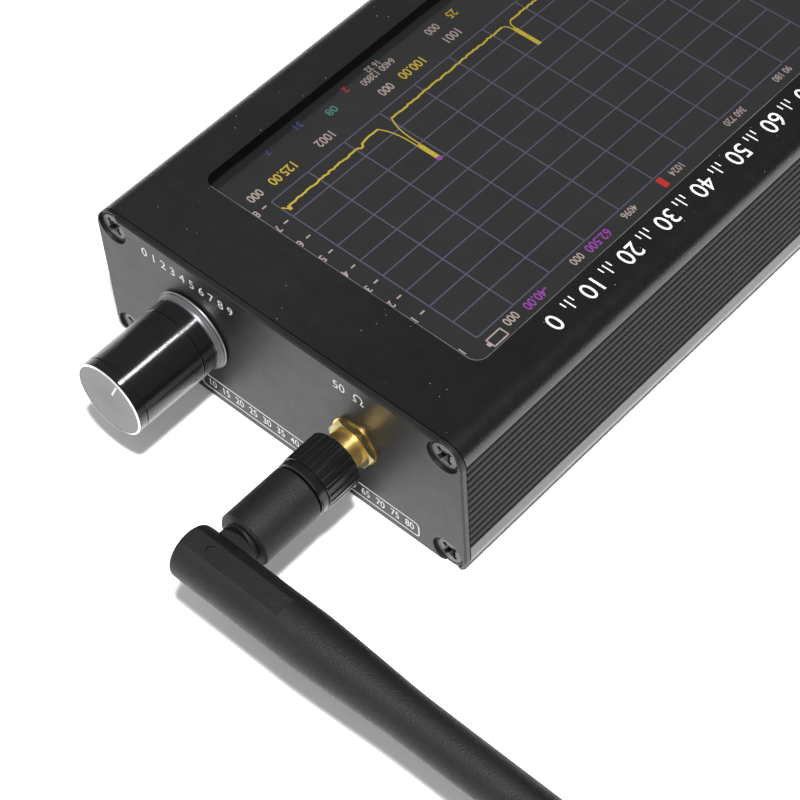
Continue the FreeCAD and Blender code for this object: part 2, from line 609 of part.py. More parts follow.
def antenna_base():
    """The antenna's screwed end: ribbed grip, threaded insert, ferrule, insulator and pin."""
    axis = "socket_axis_x"
    grip = turned("grip_blank", [
        ("3.95", "0"), ("grip_radius - 0.3", "0"), ("grip_radius", "0.3"),
        ("grip_radius", "grip_end - grip_start - 1.5"),
        ("grip_radius - 0.25", "grip_end - grip_start - 1.4"),
        ("grip_radius - 0.25", "grip_end - grip_start - 1.15"),
        ("grip_radius - 0.12", "grip_end - grip_start - 1.05"),
        ("grip_radius - 0.12", "grip_end - grip_start - 0.25"),
        ("grip_radius - 0.35", "grip_end - grip_start"), ("2.7", "grip_end - grip_start"),
        ("2.7", "7"), ("3.95", "7")], front(axis, "grip_start"))
    valleys = []
    for number in range(SIZES["grip_ribs"]):
        turn = 2 * math.pi * number / SIZES["grip_ribs"]
        across = f"{axis} + (grip_radius + 0.25) * {math.cos(turn):.6f}"
        up = f"axis_height + (grip_radius + 0.25) * {math.sin(turn):.6f}"
        valleys.append(cylinder(f"valley_{number}", "0.45", "grip_end - grip_start - 1.6 + 1",
                                (across, "-front_face - grip_start + 1", up), FORWARD))
    node("antenna_grip", cut("antenna_grip", grip, valleys))
    node("antenna_nut_insert", turned("antenna_nut_insert", [
        ("3.25", "0"), ("3.95", "0"), ("3.95", "6.9"), ("2.5", "6.9"), ("2.5", "5.85"),
        ("3.25", "5.85")], front(axis, "grip_start + 0.1")))
    node("antenna_ferrule", turned("antenna_ferrule", [
        ("1.9", "0"), ("2.29", "0"), ("2.29", "1.98"), ("3.0", "1.98"), ("3.0", "2.6"),
        ("2.4", "2.6"), ("2.4", "5.6"), ("3.2", "5.6"), ("3.2", "8.6"), ("1.9", "8.6")],
        front(axis, "mate_plane + 0.02")))
    node("antenna_insulator", turned("antenna_insulator", [
        ("0.45", "0"), ("1.9", "0"), ("1.9", "8.5"), ("0.45", "8.5")],
        front(axis, "mate_plane + 0.02")))
    node("antenna_contact", turned("antenna_contact", [
        ("0", "0"), ("0.2", "0"), ("0.45", "0.6"), ("0.45", "11"), ("0", "11")],
        front(axis, "mate_plane - 2.4")))


def antenna_hinge():
    """The smooth hinge body with its rounded tongue, and the pin through it."""
    axis = "socket_axis_x"
    length = "hinge_end - hinge_start"
    barrel = turned("hinge_barrel", [
        ("2.5", "0"), ("hinge_radius - 0.3", "0"), ("hinge_radius", "0.3"),
        ("hinge_radius", length + " - 0.4"), ("hinge_radius - 0.4", length), ("0", length),
        ("0", "4.5"), ("3.25", "4.5"), ("3.25", "0.75"), ("2.5", "0.75")],
        front(axis, "hinge_start"))
    stem = cylinder("tongue_stem", "tongue_half", "pivot_out - hinge_end + 1",
                    front(axis, "hinge_end - 1"), FORWARD)
    pivot = (axis, "-front_face - pivot_out")
    nose = cylinder("tongue_nose", "tongue_half", "tongue_thick",
                    pivot + ("axis_height - tongue_thick / 2",))
    hole = cylinder("tongue_hole", "pivot_radius + pivot_play", "tongue_thick + 2",
                    pivot + ("axis_height - tongue_thick / 2 - 1",))
    above = cylinder("swing_room_above", "swing_radius", "4", pivot + ("axis_height + tongue_thick / 2",))
    below = cylinder("swing_room_below", "swing_radius", "4",
                     pivot + ("axis_height - tongue_thick / 2 - 4",))
    neck = cut("hinge_neck", stem, [above, below])
    solid = fuse("hinge_solid", [barrel, neck, nose])
    node("antenna_hinge_body", cut("antenna_hinge_body", solid, [hole]))
    node("antenna_hinge_pin", cylinder("antenna_hinge_pin", "pivot_radius", "2 * cheek_flat - 0.5",
                                       (axis, "-front_face - pivot_out",
                                        "axis_height - cheek_flat + 0.25")))


def whip_profile():
    """The whip's round sleeve as a spun outline: straight, a slight swell, a taper and a dome."""
    radius = SIZES["whip_radius"]
    end = SIZES["whip_end"]
    length = SIZES["whip_length"]
    slim = radius - 0.8
    dome = slim - 0.15

    def point(out, away):
        return FreeCAD.Vector(away, 0, out)

    swell = Part.BSplineCurve()
    swell.interpolate(
        [point(12, radius), point(18, radius + 0.04), point(25, radius - 0.2),
         point(34, radius - 0.64), point(40, slim)],
        InitialTangent=FreeCAD.Vector(0, 0, 1), FinalTangent=FreeCAD.Vector(0, 0, 1))
    corner = 0.7
    diagonal = corner * math.sqrt(0.5)
    round_start = Part.Arc(point(-end, radius - corner),
                           point(-end + corner - diagonal, radius - corner + diagonal),
                           point(-end + corner, radius))
    diagonal = dome * math.sqrt(0.5)
    round_end = Part.Arc(point(length - dome, dome), point(length - dome + diagonal, diagonal),
                         point(length, 0))
    edges = [
        Part.LineSegment(point(-end, 0), point(-end, radius - corner)).toShape(),
        round_start.toShape(),
        Part.LineSegment(point(-end + corner, radius), point(12, radius)).toShape(),
        swell.toShape(),
        Part.LineSegment(point(40, slim), point(length - dome, dome)).toShape(),
        round_end.toShape(),
        Part.LineSegment(point(length, 0), point(-end, 0)).toShape(),
    ]
    face = Part.Face(Part.Wire(edges))
    return face.revolve(FreeCAD.Vector(0, 0, 0), FreeCAD.Vector(0, 0, 1), 360)


def antenna_whip():
    """The folding whip: spun sleeve with flats, a slot for the tongue and one rounded cam corner."""
    axis = "socket_axis_x"
    pivot_y = "-front_face - pivot_out"
    sleeve = doc.addObject("Part::Feature", "whip_sleeve")
    sleeve.Shape = whip_profile()
    place(sleeve, (axis, pivot_y, "axis_height"), SIDEWAYS)
    slot = box("whip_slot", ("whip_end + slot_floor + 2", "2 * whip_radius + slot_wall", "slot_width"),
               (f"{axis} - whip_end - 2", pivot_y + " - slot_wall", "axis_height - slot_width / 2"))
    tools = [slot]
    for side in ("-1", "1"):
        tools.append(centred_box("whip_flat", ("whip_end + step_out + 2", "20", "2"),
                                 (f"{axis} + (step_out - whip_end - 2) / 2", pivot_y,
                                  f"axis_height - 1 + {side} * (cheek_flat + 1)")))
    tools.append(cylinder("whip_pin_hole", "pivot_radius", "4 * whip_radius",
                          (axis, pivot_y, "axis_height - 2 * whip_radius")))
    tools.append(cylinder("whip_bore", "2.1", "whip_length - 13", (f"{axis} + 7", pivot_y,
                                                                  "axis_height"), SIDEWAYS))
    cam = 2.8
    block = box("cam_block", (f"{cam} + 1", f"{cam} + 1", "20"),
                (f"{axis} - whip_end - 1", f"{pivot_y} + whip_radius - {cam}", "axis_height - 10"))
    round_part = cylinder("cam_round", str(cam), "24",
                          (f"{axis} - whip_end + {cam}", f"{pivot_y} + whip_radius - {cam}",
                           "axis_height - 12"))
    tools.append(cut("cam_corner", block, [round_part]))
    node("antenna_whip", cut("antenna_whip", sleeve, tools))
    node("antenna_sleeve", turned("antenna_sleeve", [
        ("1.7", "0"), ("2.05", "0"), ("2.05", "24"), ("1.7", "24")],
        (f"{axis} + 10", pivot_y, "axis_height"), SIDEWAYS))
    node("antenna_radiator", cylinder("antenna_radiator", "0.7", "58",
                                      (f"{axis} + 12", pivot_y, "axis_height"), SIDEWAYS))
    node("antenna_spacers", antenna_spacers(pivot_y))


def antenna_spacers(pivot_y):
    """Two foam rings that hold the radiator in the middle of the whip."""
    rings = []
    for number, spot in enumerate((38, 64)):
        rings.append(turned(f"spacer_{number}", [
            ("0.7", "0"), ("2.1", "0"), ("2.1", "4"), ("0.7", "4")],
            (f"socket_axis_x + {spot}", pivot_y, "axis_height"), SIDEWAYS))
    group = doc.addObject("Part::Compound", "antenna_spacers")
    group.Links = rings
    return group


def build():
    case_extrusion()
    front_plate()
    rear_plate()
    plate_screws("front_screws", "-1", FORWARD)
    plate_screws("rear_screws", "1", REARWARD)
    display()
    main_board()
    board_parts()
    rear_parts()
    encoder()
    knob()
    signal_socket()
    antenna_base()
    antenna_hinge()
    antenna_whip()
    doc.recompute()


def check_and_write():
    for item in doc.Objects:
        if "Invalid" in item.State or "Error" in item.State:
            raise RuntimeError(f"{item.Label} failed: {item.State}")
    for item in nodes:
        if item.Shape.isNull() or not item.Shape.isValid():
            raise RuntimeError(f"{item.Label} has no valid shape")
    os.makedirs("parts", exist_ok=True)
    for item in nodes:
        item.Shape.exportStep(f"parts/{item.Label}.step")
        extent = item.Shape.BoundBox
        print(f"{item.Label}: {item.Shape.Volume:.1f} mm3, {len(item.Shape.Solids)} solids, "
              f"x {extent.XMin:.1f}..{extent.XMax:.1f} y {extent.YMin:.1f}..{extent.YMax:.1f} "
              f"z {extent.ZMin:.1f}..{extent.ZMax:.1f}")


build()
check_and_write()
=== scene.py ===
"""Looks of the handheld spectrum analyzer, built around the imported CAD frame.

Metres on the frame's own axes: the front plate faces -Y, the display faces +Z and the whip rests
along +X. Materials and artwork are laid out in millimetres.
"""
import math
import random
from functools import partial

import bpy
from mathutils import Matrix, Vector


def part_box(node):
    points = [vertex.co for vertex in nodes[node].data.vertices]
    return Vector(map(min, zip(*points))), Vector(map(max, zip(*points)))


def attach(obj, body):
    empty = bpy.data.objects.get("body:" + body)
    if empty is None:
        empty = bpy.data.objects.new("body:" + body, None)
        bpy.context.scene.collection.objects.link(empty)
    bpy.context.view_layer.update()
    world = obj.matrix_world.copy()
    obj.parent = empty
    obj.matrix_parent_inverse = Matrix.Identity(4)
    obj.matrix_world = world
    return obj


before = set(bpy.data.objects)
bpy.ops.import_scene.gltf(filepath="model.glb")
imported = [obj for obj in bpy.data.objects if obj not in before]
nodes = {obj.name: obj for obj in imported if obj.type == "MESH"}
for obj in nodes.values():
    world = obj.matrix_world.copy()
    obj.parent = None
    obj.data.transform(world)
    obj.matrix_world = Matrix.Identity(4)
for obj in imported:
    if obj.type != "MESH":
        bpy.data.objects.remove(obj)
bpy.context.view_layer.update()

MM = 0.001
rng = random.Random(7)


def middle(name):
    low, high = (Vector(corner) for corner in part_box(name))
    return (low + high) / 2


def low_of(name):
    return Vector(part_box(name)[0])


def high_of(name):
    return Vector(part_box(name)[1])


PLATE_FACE = low_of("front_plate").y
KNOB_AXIS = middle("encoder_shaft")
CASE_TOP = high_of("case_extrusion").z
GLASS_TOP = high_of("lcd_panel").z
HALF_WIDTH = high_of("case_extrusion").x

# ---------------------------------------------------------------- material helpers

# A range of noise values, then what it maps to where that is given.
COMMON_NOISE = (0.35, 0.65)
MOST_NOISE = (0.3, 0.7)
GRAIN_PEAKS = (0.62, 0.8, 0.0, 0.35)
BLOTCH_SCALE = 0.12
GLOSS_SCALE, GLOSS_DRIFT = 0.5, 0.06
DUST = (0.2, 0.2, 0.19)
DUST_CELLS_PER_MM = 1.2
DUST_EDGE = (0.06, 0.11, 1.0, 0.0)
# The display's light: a range in millimetres, then the brightness at its two ends.
FADE_ALONG = (-46.0, 5.0, 1.0, 0.62)
FADE_ACROSS = (-27.0, -18.0, 0.5, 1.0)
FLICKER = (0.6, 1.0)
UNLIT_SHARE = 0.12


def new_material(name, color, rough=0.5, metal=0.0, **sockets):
    """A Principled material with plain values; extra sockets are named with underscores."""
    mat = bpy.data.materials.new(name)
    mat.use_nodes = True
    inputs = shader_of(mat).inputs
    inputs["Base Color"].default_value = (*color, 1)
    inputs["Roughness"].default_value = rough
    inputs["Metallic"].default_value = metal
    for key, value in sockets.items():
        inputs[key.replace("_", " ")].default_value = value
    mat.diffuse_color = (*color, 1)
    return mat


def shader_of(mat):
    return mat.node_tree.nodes["Principled BSDF"]


def link(mat, output, socket):
    mat.node_tree.links.new(output, shader_of(mat).inputs[socket])


def add(owner, kind, inputs=None, **settings):
    """Adds a shader node; inputs maps a socket to a value or to another node's output."""
    item = owner.node_tree.nodes.new(kind)
    for key, value in settings.items():
        setattr(item, key, value)
    for key, value in (inputs or {}).items():
        if isinstance(value, bpy.types.NodeSocket):
            owner.node_tree.links.new(value, item.inputs[key])
        else:
            item.inputs[key].default_value = value
    return item


def place(mat):
    """Object coordinates in millimetres."""
    coords = add(mat, "ShaderNodeTexCoord")
    inputs = {"Vector": coords.outputs["Object"], "Scale": (1000, 1000, 1000)}
    return add(mat, "ShaderNodeMapping", inputs).outputs[0]


def split(owner, vector):
    """The x, y and z outputs of a vector."""
    return add(owner, "ShaderNodeSeparateXYZ", {"Vector": vector}).outputs


def math_node(mat, operation, first, second=0.0):
    return add(mat, "ShaderNodeMath", {0: first, 1: second}, operation=operation).outputs[0]


def noise(mat, where, scale, detail=3.0, rough=0.55):
    inputs = {"Vector": where, "Scale": scale, "Detail": detail, "Roughness": rough}
    return add(mat, "ShaderNodeTexNoise", inputs).outputs["Fac"]


def spread(owner, value, low, high, out_low=0.0, out_high=1.0):
    """Maps a value from one range to another, clamped."""
    inputs = {"Value": value, "From Min": low, "From Max": high,
              "To Min": out_low, "To Max": out_high}
    return add(owner, "ShaderNodeMapRange", inputs).outputs[0]


def tint(mat, factor, first, second):
    """A colour between two, each a plain colour or another node's output."""
    mix = add(mat, "ShaderNodeMix", data_type="RGBA")
    mat.node_tree.links.new(factor, mix.inputs["Factor"])
    for slot, value in ((6, first), (7, second)):
        if isinstance(value, bpy.types.NodeSocket):
            mat.node_tree.links.new(value, mix.inputs[slot])
        else:
            mix.inputs[slot].default_value = (*value, 1)
    return mix.outputs[2]


def bump(mat, height, distance, under=None):
    """Relief with its full height in millimetres, on top of another relief if given."""
    inputs = {"Height": height, "Distance": distance * MM, "Strength": 1.0}
    if under is not None:
        inputs["Normal"] = under
    return add(mat, "ShaderNodeBump", inputs).outputs["Normal"]


def grained(name, color, rough, metal=0.0, grain=3.0, depth=0.01, blotch=0.25, specks=0.0,
            **sockets):
    """A surface with fine grain, a slow drift in tone and gloss, and a little dust if asked.

    grain is the noise scale per millimetre, depth the relief in millimetres, blotch the share by
    which the tone drifts, and specks the share of dust cells that hold a speck.
    """
    mat = new_material(name, color, rough, metal, **sockets)
    where = place(mat)
    slow = noise(mat, where, BLOTCH_SCALE, 4)
    fine = noise(mat, where, grain, 2, 0.7)
    darker = tuple(c * (1 - blotch) for c in color)
    lighter = tuple(min(1, c * (1 + blotch) + 0.0005) for c in color)
    glint = tuple(min(1, c * 2 + 0.005) for c in color)
    tone = tint(mat, spread(mat, slow, *COMMON_NOISE), darker, lighter)
    tone = tint(mat, spread(mat, fine, *GRAIN_PEAKS), tone, glint)
    if specks:
        cells = add(mat, "ShaderNodeTexVoronoi",
                    {"Vector": where, "Scale": DUST_CELLS_PER_MM, "Randomness": 1.0})
        chosen = add(mat, "ShaderNodeSeparateColor", {"Color": cells.outputs["Color"]})
        small = spread(mat, cells.outputs["Distance"], *DUST_EDGE)
        lucky = spread(mat, chosen.outputs[0], 1 - specks, 1 - specks + 0.01)
        tone = tint(mat, math_node(mat, "MULTIPLY", small, lucky), tone, DUST)
    link(mat, tone, "Base Color")
    drift = noise(mat, where, GLOSS_SCALE, 3)
    glossy, matt = rough * (1 - GLOSS_DRIFT), rough * (1 + GLOSS_DRIFT)
    link(mat, spread(mat, drift, *MOST_NOISE, glossy, matt), "Roughness")
    link(mat, bump(mat, fine, depth), "Normal")
    return mat


def glow(name, color, strength):
    """Print on the lit display: a dim colour of its own light, uneven, fading over the far rows."""
    dim = tuple(c * UNLIT_SHARE for c in color)
    mat = new_material(name, dim, 0.3, Emission_Strength=strength)
    where = place(mat)
    parts = split(mat, where)
    flicker = spread(mat, noise(mat, where, 4.0, 2, 0.7), *COMMON_NOISE, *FLICKER)
    along = spread(mat, parts[1], *FADE_ALONG)
    across = spread(mat, parts[0], *FADE_ACROSS)
    level = math_node(mat, "MULTIPLY", math_node(mat, "MULTIPLY", along, across), flicker)
    link(mat, tint(mat, level, (0, 0, 0), color), "Emission Color")
    return mat


# ---------------------------------------------------------------- materials

RIBBED_FROM, RIBBED_TO, RIBBED_DEPTH = 6.0, 25.7, 0.7
RIB_DULLNESS = 0.7
SOFT_EDGE = 0.1
# Gloss from handling: a range across the case in millimetres, then the change in roughness.
HANDLED = (-5.0, 27.0, 0.0, -0.11)
KNOB_BLACK = (0.004, 0.004, 0.0045)
# Face greys, from the centre out to the rim: the lighter rim is a painted sheen.
KNOB_FACE_SHEEN_GREYS = (0.066, 0.067, 0.069), (0.106, 0.108, 0.111)
# Flange greys, outer ring then inner flare: the lighter flare is a painted highlight.
KNOB_FLANGE_HIGHLIGHT_GREYS = (0.04, 0.04, 0.041), (0.095, 0.1, 0.106)
KNOB_POLISHED = (0.66, 0.66, 0.65)
KNOB_RIB_PITCH, KNOB_RIB_DEPTH = 0.26, 0.012
KNOB_RING_PITCH, KNOB_RING_SHARE = 0.3, 0.25


def case_material():
    """Fine-blasted anodised metal, dull between the side grooves and glossier where it is held."""
    mat = grained("case_anodised", (0.0012, 0.0012, 0.0013), 0.36, grain=3.4, depth=0.035,
                  blotch=0.15, specks=0.09, Specular_IOR_Level=0.7)
    parts = split(mat, place(mat))
    side = math_node(mat, "ABSOLUTE", parts[0])
    bottom = HALF_WIDTH / MM - RIBBED_DEPTH
    outer = spread(mat, side, bottom, bottom + SOFT_EDGE)
    low = spread(mat, parts[2], RIBBED_FROM - SOFT_EDGE, RIBBED_FROM)
    high = spread(mat, parts[2], RIBBED_TO + SOFT_EDGE, RIBBED_TO)
    ribs = math_node(mat, "MULTIPLY", math_node(mat, "MULTIPLY", low, high), outer)
    plain = shader_of(mat).inputs["Roughness"].links[0].from_socket
    worn = math_node(mat, "ADD", plain, spread(mat, parts[0], *HANDLED))
    dull = math_node(mat, "MULTIPLY", ribs, RIB_DULLNESS)
    link(mat, math_node(mat, "ADD", worn, dull), "Roughness")
    return mat


def knob_material():
    """Gloss black with fine turned ribs round the grip, a satin face painted lighter towards its
    rim as a painted sheen, a polished rim, and a flange whose inner flare is painted lighter as a
    painted highlight.

    Reach is the distance out from the plate and radius the distance from the knob's axis; each
    mask is 1 on its own zone of the knob.
    """
    face_radius, lip_radius, flange_radius = 6.22, 7.0, 6.45
    lip_height, flange_height, bevel = 0.62, 1.6, 0.2
    mat = new_material("knob_turned", KNOB_BLACK, 0.13, Specular_IOR_Level=0.37)
    calc = partial(math_node, mat)
    mask = partial(spread, mat)
    where = place(mat)
    parts = split(mat, where)
    axis = KNOB_AXIS / MM
    end = (PLATE_FACE - low_of("knob_body").y) / MM

    reach = calc("SUBTRACT", PLATE_FACE / MM, parts[1])
    across = calc("POWER", calc("SUBTRACT", parts[0], axis.x), 2.0)
    up = calc("POWER", calc("SUBTRACT", parts[2], axis.z), 2.0)
    radius = calc("SQRT", calc("ADD", across, up))

    front = mask(reach, end - bevel, end - bevel + 0.02)
    face = calc("MULTIPLY", front, mask(radius, face_radius + 0.05, face_radius))
    lip = calc("MULTIPLY", mask(reach, lip_height + 0.04, lip_height),
               mask(radius, lip_radius, lip_radius + 0.05))
    flange = calc("MULTIPLY", mask(reach, flange_height + 0.1, flange_height),
                  mask(radius, flange_radius, flange_radius + 0.1))
    flange = calc("SUBTRACT", flange, lip)
    polished = calc("MAXIMUM", calc("SUBTRACT", front, face), lip)
    drift = noise(mat, where, 0.6, 3)

    # Painted sheen: the face is painted lighter out towards its rim, plus a random drift in tone.
    sheen_outward = calc("ADD", mask(radius, 0.5, 6.2, 0.0, 0.7), mask(drift, *MOST_NOISE, 0.0, 0.3))
    tone = tint(mat, face, KNOB_BLACK, tint(mat, sheen_outward, *KNOB_FACE_SHEEN_GREYS))
    # Painted highlight: the flange's inner flare is painted lighter than its outer ring.
    tone = tint(mat, flange, tone, tint(mat, mask(reach, 0.8, 0.95), *KNOB_FLANGE_HIGHLIGHT_GREYS))
    link(mat, tint(mat, polished, tone, KNOB_POLISHED), "Base Color")

    partly = calc("MAXIMUM", calc("MULTIPLY", face, 0.75), calc("MULTIPLY", flange, 0.6))
    link(mat, calc("MAXIMUM", polished, partly), "Metallic")

    satin = calc("ADD", mask(drift, *MOST_NOISE, 0.11, 0.15), calc("MULTIPLY", face, 0.24))
    satin = calc("ADD", satin, calc("MULTIPLY", flange, 0.2))
    link(mat, calc("ADD", satin, calc("MULTIPLY", polished, 0.22)), "Roughness")

    ribs = calc("SINE", calc("MULTIPLY", reach, 2 * math.pi / KNOB_RIB_PITCH))
    grip = calc("MULTIPLY", mask(reach, 1.8, 1.9, 0.05, 1.0), mask(reach, end - 0.4, end - 0.5))
    rings = calc("SINE", calc("MULTIPLY", radius, 2 * math.pi / KNOB_RING_PITCH))
    rings = calc("MULTIPLY", calc("MULTIPLY", rings, face), KNOB_RING_SHARE)
    turned = bump(mat, calc("ADD", calc("MULTIPLY", ribs, grip), rings), KNOB_RIB_DEPTH)
    link(mat, bump(mat, noise(mat, where, 6.0), 0.002, turned), "Normal")
    return mat


CASE = case_material()
PLATE = grained("plate_anodised", (0.006, 0.006, 0.0064), 0.43, grain=7.0, depth=0.02,
                blotch=0.12, Specular_IOR_Level=0.3)
SCREW = grained("screw_oxide", (0.085, 0.085, 0.085), 0.32, metal=0.9, grain=6.0, blotch=0.3)
GLASS = grained("screen_glass", (0.009, 0.009, 0.0096), 0.15, grain=6.0, depth=0.0, blotch=0.05,
                Specular_IOR_Level=0.95)
STEEL = grained("tinned_steel", (0.55, 0.55, 0.54), 0.3, metal=1.0)
PLASTIC = grained("black_plastic", (0.02, 0.02, 0.02), 0.45, grain=5.0)
WHITE = grained("white_plastic", (0.8, 0.8, 0.77), 0.45, depth=0.005, blotch=0.05)
AMBER = grained("amber_film", (0.5, 0.22, 0.03), 0.3, grain=2.0, depth=0.002)
BOARD = grained("solder_mask", (0.01, 0.09, 0.03), 0.3, grain=1.5, blotch=0.3)
CHIP = grained("chip_resin", (0.02, 0.02, 0.021), 0.5, grain=8.0)
FOIL = grained("battery_foil", (0.55, 0.55, 0.57), 0.35, metal=0.8, grain=1.0, depth=0.015)
LAMP = grained("lamp_lens", (0.6, 0.05, 0.03), 0.15, grain=2.0, depth=0.001)
NICKEL = grained("nickel_plate", (0.6, 0.58, 0.53), 0.25, metal=1.0, grain=2.0, depth=0.003)
GOLD = grained("gold_plate", (0.70, 0.48, 0.17), 0.30, metal=1.0, grain=2.5, depth=0.003,
               blotch=0.12)
NUT = grained("gold_plate_dull", (0.34, 0.275, 0.13), 0.3, metal=1.0, grain=2.0, depth=0.001,
              blotch=0.12)
INK = grained("white_ink", (0.50, 0.50, 0.48), 0.5, grain=8.0, depth=0.002, blotch=0.05)
ANTENNA = grained("antenna_plastic", (0.0045, 0.0044, 0.0042), 0.52, grain=4.0, depth=0.09,
                  blotch=0.15, Specular_IOR_Level=0.26)
GRIP = grained("grip_plastic", (0.003, 0.003, 0.003), 0.22, grain=4.0, blotch=0.15,
               Specular_IOR_Level=0.4)
FOAM = grained("foam", (0.2, 0.2, 0.21), 0.9, depth=0.05)
# Painted shade: a near-black, barely reflective sheet laid over the window's walls.
WALL_SHADE = grained("window_wall_shade_black", (0.0012, 0.0012, 0.0012), 0.6, blotch=0.3,
                Specular_IOR_Level=0.08)
# Painted highlight for the bright bevel along the window's near and right edges.
RIM_HIGHLIGHT = grained("edge_highlight_paint", (0.085, 0.09, 0.09), 0.4, metal=0.3, grain=2.0, depth=0.002,
                   blotch=0.4)
GRID = glow("screen_grid", (0.19, 0.18, 0.29), 0.32)
YELLOW = glow("screen_yellow", (0.75, 0.56, 0.06), 0.68)
PINK = glow("screen_pink", (0.62, 0.50, 0.47), 0.6)
PURPLE = glow("screen_purple", (0.50, 0.10, 0.62), 0.42)
RED = glow("screen_red", (0.8, 0.05, 0.05), 0.6)
BLUE = glow("screen_blue", (0.12, 0.16, 0.5), 0.3)
GREEN = glow("screen_green", (0.2, 0.5, 0.45), 0.25)
KNOB = knob_material()

LOOKS = {
    "case_extrusion": CASE, "front_plate": PLATE, "rear_plate": PLATE, "front_screws": SCREW,
    "rear_screws": SCREW, "lcd_frame": STEEL, "lcd_panel": GLASS, "lcd_backlight": WHITE,
    "lcd_ribbon": AMBER, "ribbon_connector": WHITE, "main_board": BOARD, "shield_can": STEEL,
    "rf_chips": CHIP, "processor": CHIP, "crystal": STEEL, "charger_chip": CHIP,
    "battery": FOIL, "battery_connector": WHITE, "usb_shell": STEEL, "usb_tongue": PLASTIC,
    "switch_body": STEEL, "switch_slider": PLASTIC, "status_lamp": LAMP,
    "encoder_housing": PLASTIC, "encoder_bushing": NICKEL, "encoder_rotor": WHITE,
    "encoder_shaft": NICKEL, "switch_dome": STEEL, "encoder_board": BOARD,
    "encoder_washer": NICKEL, "encoder_nut": NICKEL, "knob_body": KNOB, "knob_index": INK,
    "knob_hub": PLASTIC, "socket_body": GOLD, "socket_washer": GOLD, "socket_nut": NUT,
    "socket_insulator": WHITE, "socket_contact": GOLD, "antenna_grip": GRIP,
    "antenna_nut_insert": GOLD, "antenna_ferrule": GOLD, "antenna_insulator": WHITE,
    "antenna_contact": GOLD, "antenna_hinge_body": ANTENNA, "antenna_hinge_pin": ANTENNA,
    "antenna_whip": ANTENNA, "antenna_sleeve": GOLD, "antenna_radiator": GOLD,
    "antenna_spacers": FOAM,
}
for name, mat in LOOKS.items():
    for slot in nodes[name].material_slots:
        slot.material = mat

# ---------------------------------------------------------------- mesh helpers

INK_LIFT = 0.005
SHARPEST_MITRE = 0.35


def mesh_piece(name, verts, faces, mat, body, smooth=False):
    data = bpy.data.meshes.new(name)
    data.from_pydata([tuple(v) for v in verts], [], faces)
    data.validate()
    data.materials.append(mat)
    piece = bpy.data.objects.new(name, data)
    bpy.context.scene.collection.objects.link(piece)
    for polygon in data.polygons:
        polygon.use_smooth = smooth
    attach(piece, body)
    return piece


def arc_points(x, y, radius, start, end, count=8):
    """Points along an arc, its start and end in degrees."""
    turns = (math.radians(start + (end - start) * n / count) for n in range(count + 1))
    return [(x + radius * math.cos(t), y + radius * math.sin(t)) for t in turns]


class Print:
    """Flat artwork on one face of the case, drawn in its own across and up millimetres."""

    def __init__(self, origin, across, up, lift):
        self.origin = Vector(origin)
        self.across = Vector(across)
        self.up = Vector(up)
        self.lift = self.across.cross(self.up) * lift * MM
        self.verts = []
        self.faces = []

    def at(self, x, y):
        return self.origin + (self.across * x + self.up * y) * MM + self.lift

    def polygon(self, corners):
        first = len(self.verts)
        self.verts.extend(self.at(x, y) for x, y in corners)
        self.faces.append(tuple(range(first, first + len(corners))))

    def bar(self, x0, y0, x1, y1):
        self.polygon(((x0, y0), (x1, y0), (x1, y1), (x0, y1)))

    def stroke(self, points, width):
        """A ribbon of even width through points, mitred where it turns so nothing overlaps."""
        first = len(self.verts)
        closed = points[0] == points[-1]
        before_first = points[-2] if closed else points[0]
        after_last = points[1] if closed else points[-1]
        befores = [before_first] + points[:-1]
        afters = points[1:] + [after_last]
        for before, (x, y), after in zip(befores, points, afters):
            sides = []
            for (x0, y0), (x1, y1) in ((before, (x, y)), ((x, y), after)):
                run = math.hypot(x1 - x0, y1 - y0)
                if run > 1e-9:
                    sides.append(((y0 - y1) / run, (x1 - x0) / run))
            nx = sum(side[0] for side in sides) / len(sides)
            ny = sum(side[1] for side in sides) / len(sides)
            reach = width / 2 / max(nx * nx + ny * ny, SHARPEST_MITRE)
            self.verts.append(self.at(x + nx * reach, y + ny * reach))
            self.verts.append(self.at(x - nx * reach, y - ny * reach))
        for near in range(first, len(self.verts) - 2, 2):
            self.faces.append((near, near + 1, near + 3, near + 2))

    def digits(self, text, x, y, size, squeeze=1.0, bold=0.02):
        """Numerals and signs from the built-in font, turned into flat faces."""
        curve = bpy.data.curves.new("numerals", "FONT")
        curve.body = text
        curve.size = size
        curve.align_x = "CENTER"
        curve.align_y = "CENTER"
        curve.offset = size * bold
        holder = bpy.data.objects.new("numerals", curve)
        data = bpy.data.meshes.new_from_object(holder)
        first = len(self.verts)
        self.verts.extend(self.at(x + v.co.x * squeeze, y + v.co.y) for v in data.vertices)
        self.faces.extend(tuple(first + i for i in p.vertices) for p in data.polygons)
        bpy.data.objects.remove(holder)

    def finish(self, name, mat, slot):
        return mesh_piece(name, self.verts, self.faces, mat, "case")


# ---------------------------------------------------------------- stage

FLOOR_SIZE, FLOOR_DROP = 6, 0.00005
PAPER_GREYS = (0.89, 0.89, 0.89), (0.92, 0.92, 0.92)
# The studio's walls: a range of the direction's Y, then the light's strength at its two ends.
WALLS = (-0.35, 0.25, 0.84, 0.2)
LIGHT_TOWARD = (0.33, -0.268, 1.0)
LIGHT_DISTANCE = 1.2
LIGHT_SIZE = 0.10
LIGHT_POWER = 28.5
CAMERA_EYE = (0.17784, -0.20808, 0.30339)
CAMERA_FORWARD = (-0.44267, 0.42818, -0.78778)
CAMERA_RIGHT = (0.738928, 0.672008, -0.048901)
CAMERA_LENS = 111.52


def stage():
    """A pale paper floor just under the case, in a studio with one soft light."""
    paper = new_material("floor_paper", (0.9, 0.9, 0.9), 0.9)
    mottle = noise(paper, place(paper), 0.02, 2)
    link(paper, tint(paper, mottle, *PAPER_GREYS), "Base Color")
    bpy.ops.mesh.primitive_grid_add(x_subdivisions=8, y_subdivisions=8, size=FLOOR_SIZE,
                                    location=(0, 0, -FLOOR_DROP))
    floor = bpy.context.object
    floor.name = "floor"
    floor.data.materials.append(paper)
    studio_walls()
    soft_light()


